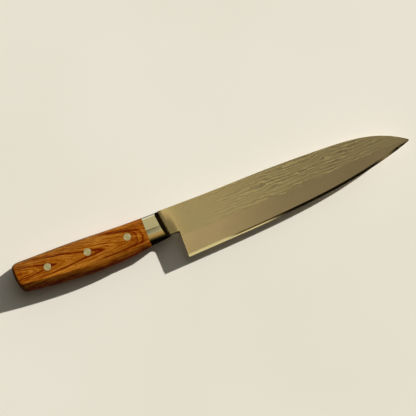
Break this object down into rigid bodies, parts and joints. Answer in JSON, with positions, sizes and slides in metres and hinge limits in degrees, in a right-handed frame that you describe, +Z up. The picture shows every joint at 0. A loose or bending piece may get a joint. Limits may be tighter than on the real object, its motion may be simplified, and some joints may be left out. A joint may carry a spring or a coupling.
{
  "type": "gyuto knife",
  "caption": "Chef's knife with a curved layered-steel blade, a polished bolster and a full-tang riveted wood handle, lying on its side.",
  "frame": {"origin": "on the surface the knife lies on, under the middle of its outline", "axes": "+X along the knife to the tip, +Y in the blade's plane to the spine, +Z up, out of the right-hand face"},
  "size_m": [0.3038, 0.0404, 0.0176],
  "materials": {
    "core_steel": "fine satin, ground across the blade, with a smoother edge bevel",
    "cladding_steel": "satin with a faint rippled layer pattern",
    "tang_steel": "ground flush with the scales",
    "bolster_steel": "polished stainless steel",
    "handle_wood": "orange-brown laminated hardwood with dark red-brown grain, oiled",
    "rivet_metal": "pale nickel-coloured metal, ground flush"
  },
  "bodies": {
    "root": {"blade_core": "core_steel", "cladding_right": "cladding_steel", "cladding_left": "cladding_steel", "tang": "tang_steel", "bolster": "bolster_steel", "scale_right": "handle_wood", "scale_left": "handle_wood", "rivet_front_right": "rivet_metal", "rivet_front_left": "rivet_metal", "rivet_middle_right": "rivet_metal", "rivet_middle_left": "rivet_metal", "rivet_rear_right": "rivet_metal", "rivet_rear_left": "rivet_metal"}
  },
  "joints": []
}
